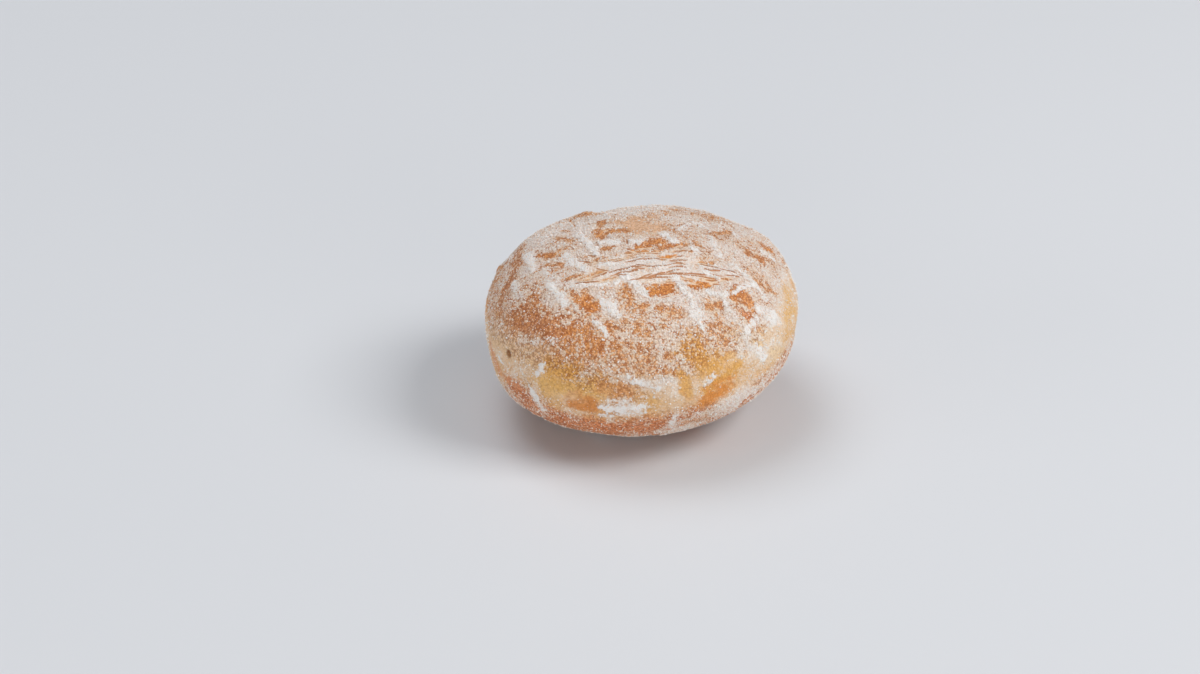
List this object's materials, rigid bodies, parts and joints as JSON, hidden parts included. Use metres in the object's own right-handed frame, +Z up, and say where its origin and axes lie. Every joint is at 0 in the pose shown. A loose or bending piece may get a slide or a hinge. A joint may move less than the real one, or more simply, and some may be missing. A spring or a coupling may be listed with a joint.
{
  "type": "mini doughnut",
  "caption": "Small fried doughnut without a hole: a flattened ball of dough with a pale band round it, its browned crust dusted with icing sugar.",
  "frame": {"origin": "on the resting face, under the middle of the doughnut's bounding box", "axes": "+X along the longer side, towards the right seen from the front; -Y towards the front; +Z up from the resting face"},
  "size_m": [0.06, 0.0558, 0.0354],
  "materials": {
    "sugared_crust": "fried dough with a dusting of icing sugar, matt where sugared and faintly oily where bare"
  },
  "bodies": {
    "root": {"doughnut": "sugared_crust"}
  },
  "joints": []
}
